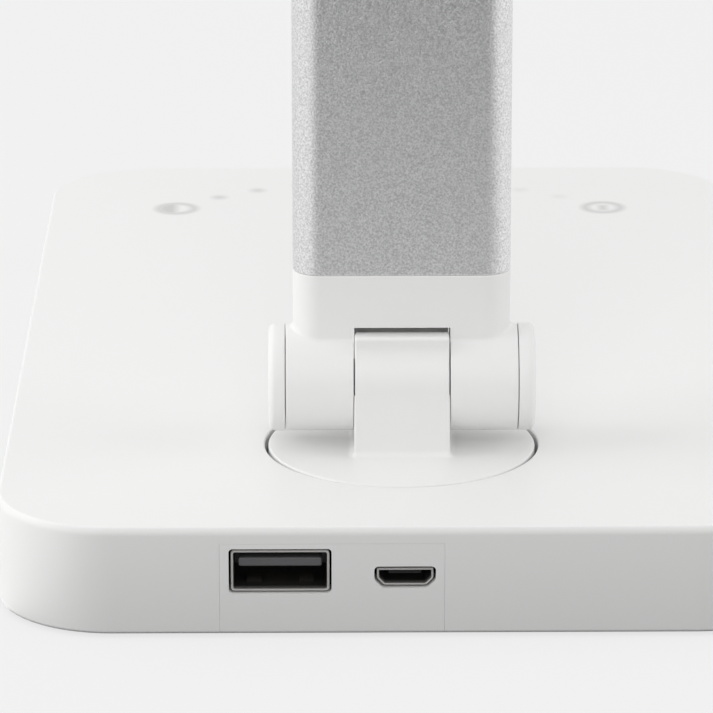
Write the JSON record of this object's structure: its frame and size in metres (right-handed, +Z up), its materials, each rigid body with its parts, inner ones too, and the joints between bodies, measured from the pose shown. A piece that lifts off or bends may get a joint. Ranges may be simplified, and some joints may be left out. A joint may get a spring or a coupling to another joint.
{
  "type": "folding led desk lamp",
  "caption": "Folding LED desk lamp: flat rechargeable base with charging sockets, swivel disc, barrel-hinged slim aluminium arm and a hinged bar head.",
  "frame": {"origin": "on the desk, under the middle of the base, on the underside of the base's pad", "axes": "+Z up; -Y towards the user and the touch marks; +Y to the rear face with the sockets; +X to the left of someone who looks at the rear face"},
  "size_m": [0.11, 0.2813, 0.3255],
  "materials": {
    "white_abs": "white moulded plastic, satin",
    "grey_silicone": "matt silicone",
    "zinc_steel": "zinc-plated",
    "plated_steel": "nickel-plated sheet",
    "black_nylon": "moulded, matt",
    "contact_brass": "plated",
    "green_laminate": "solder mask over glass laminate",
    "black_epoxy": "moulded epoxy",
    "ferrite": "pressed ferrite",
    "ivory_nylon": "natural, moulded",
    "wire_pvc": "extruded sheath",
    "battery_foil": "laminated foil, satin",
    "grey_foam": "closed-cell foam",
    "white_ribbon": "laminated flat wire",
    "anodised_aluminium": "bead-blasted, silver anodised",
    "white_board": "white solder mask on an aluminium board",
    "led_resin": "phosphor resin in a white package",
    "white_polycarbonate": "moulded, satin",
    "opal_acrylic": "opal, satin face"
  },
  "bodies": {
    "base": {"base_top": "white_abs", "base_bottom": "white_abs", "base_pad": "grey_silicone", "base_screws": "zinc_steel", "port_plate": "white_abs", "usb_a_shell": "plated_steel", "usb_a_tongue": "black_nylon", "usb_a_contacts": "contact_brass", "micro_usb_shell": "plated_steel", "micro_usb_tongue": "black_nylon", "main_board": "green_laminate", "board_chips": "black_epoxy", "board_coil": "ferrite", "battery_socket": "ivory_nylon", "battery_leads": "wire_pvc", "board_screws": "zinc_steel", "battery": "battery_foil", "battery_foam": "grey_foam", "ballast_plate": "zinc_steel", "touch_board": "green_laminate", "touch_ribbon": "white_ribbon", "swivel_bush": "ivory_nylon", "swivel_washer": "ivory_nylon"},
    "swivel": {"swivel_knuckle": "white_abs", "swivel_spindle": "zinc_steel", "swivel_spring": "zinc_steel", "swivel_nut": "zinc_steel", "lower_pin": "zinc_steel", "lower_springs": "zinc_steel", "lower_nuts": "zinc_steel"},
    "arm": {"arm_foot": "white_abs", "lower_washers": "contact_brass", "lower_cap_left": "white_abs", "lower_cap_right": "white_abs", "arm_tube": "anodised_aluminium", "arm_ribbon": "white_ribbon", "arm_top": "white_abs", "upper_cap_left": "white_abs", "upper_cap_right": "white_abs", "upper_washers": "contact_brass"},
    "head": {"head_knuckle": "white_abs", "upper_pin": "zinc_steel", "upper_springs": "zinc_steel", "upper_nuts": "zinc_steel", "head_shell": "anodised_aluminium", "head_end_cap": "white_abs", "led_board": "white_board", "leds": "led_resin", "reflector_frame": "white_polycarbonate", "diffuser": "opal_acrylic", "head_ribbon": "white_ribbon"}
  },
  "joints": [
    {"name": "base_swivel", "type": "hinge", "parent": "base", "child": "swivel", "pos_m": [0, 0.054, 0.0154], "axis": [0, 0, 1], "range_deg": [-90, 90]},
    {"name": "arm_tilt", "type": "hinge", "parent": "swivel", "child": "arm", "pos_m": [0, 0.0527, 0.02465], "axis": [1, 0, 0], "range_deg": [-10, 86]},
    {"name": "head_tilt", "type": "hinge", "parent": "arm", "child": "head", "pos_m": [0, 0.0527, 0.31465], "axis": [-1, 0, 0], "range_deg": [-90, 90]}
  ]
}
